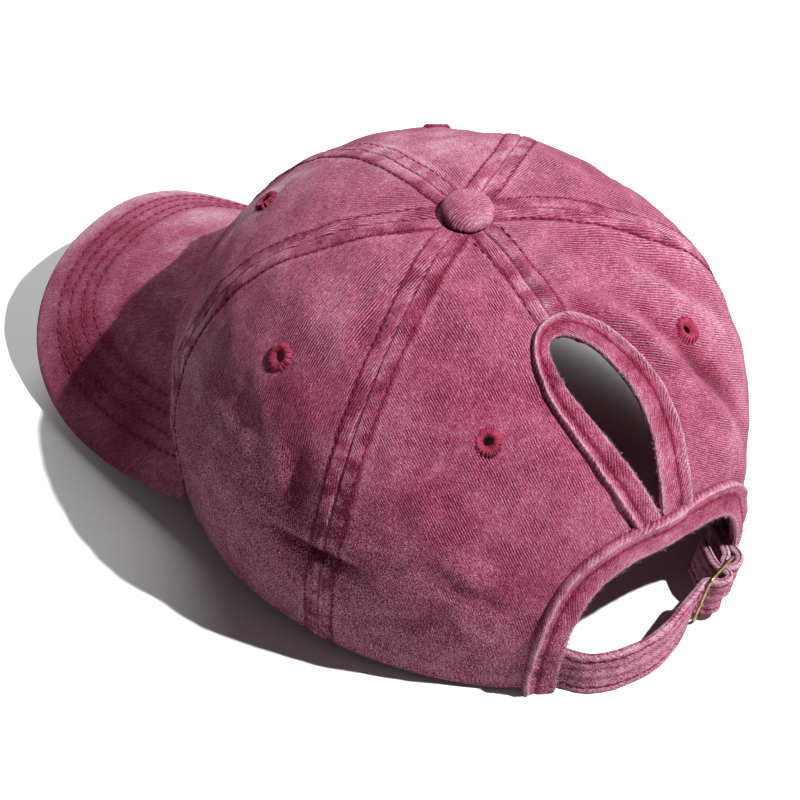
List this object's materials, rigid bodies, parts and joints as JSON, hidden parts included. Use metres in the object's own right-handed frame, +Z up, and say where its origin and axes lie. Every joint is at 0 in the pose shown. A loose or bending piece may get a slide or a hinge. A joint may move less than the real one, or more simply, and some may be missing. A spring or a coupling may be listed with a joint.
{
  "type": "ponytail baseball cap",
  "caption": "Washed cotton sports cap with a bent peak, stitched seams, embroidered air holes, a ponytail slot and a strap with a brass slide at the back.",
  "frame": {"origin": "Middle of the cap's outline on the surface that it stands on.", "axes": "+Z up, the peak to -Y, the wearer's left to +X."},
  "size_m": [0.1712, 0.2564, 0.12],
  "materials": {
    "panel_twill": "washed cranberry cotton twill, faded at the seams",
    "binding_twill": "washed cotton twill strip, worn pale on its folds",
    "strap_twill": "folded cotton twill strap, worn pale at its edges",
    "peak_twill": "washed cotton twill over a stiff board, with rows of stitching",
    "button_twill": "twill stretched over a button",
    "eyelet_thread": "satin stitched thread, deep red",
    "buckle_brass": "aged brass wire, slightly dulled"
  },
  "bodies": {
    "root": {"front_left_panel": "panel_twill", "left_side_panel": "panel_twill", "back_left_panel": "panel_twill", "back_right_panel": "panel_twill", "right_side_panel": "panel_twill", "front_right_panel": "panel_twill", "front_left_eyelet": "eyelet_thread", "left_side_eyelet": "eyelet_thread", "back_left_eyelet": "eyelet_thread", "back_right_eyelet": "eyelet_thread", "right_side_eyelet": "eyelet_thread", "front_right_eyelet": "eyelet_thread", "top_button": "button_twill", "peak": "peak_twill", "arch_binding": "binding_twill", "ponytail_binding": "binding_twill", "strap": "strap_twill", "strap_tab": "strap_twill", "buckle": "buckle_brass"}
  },
  "joints": []
}
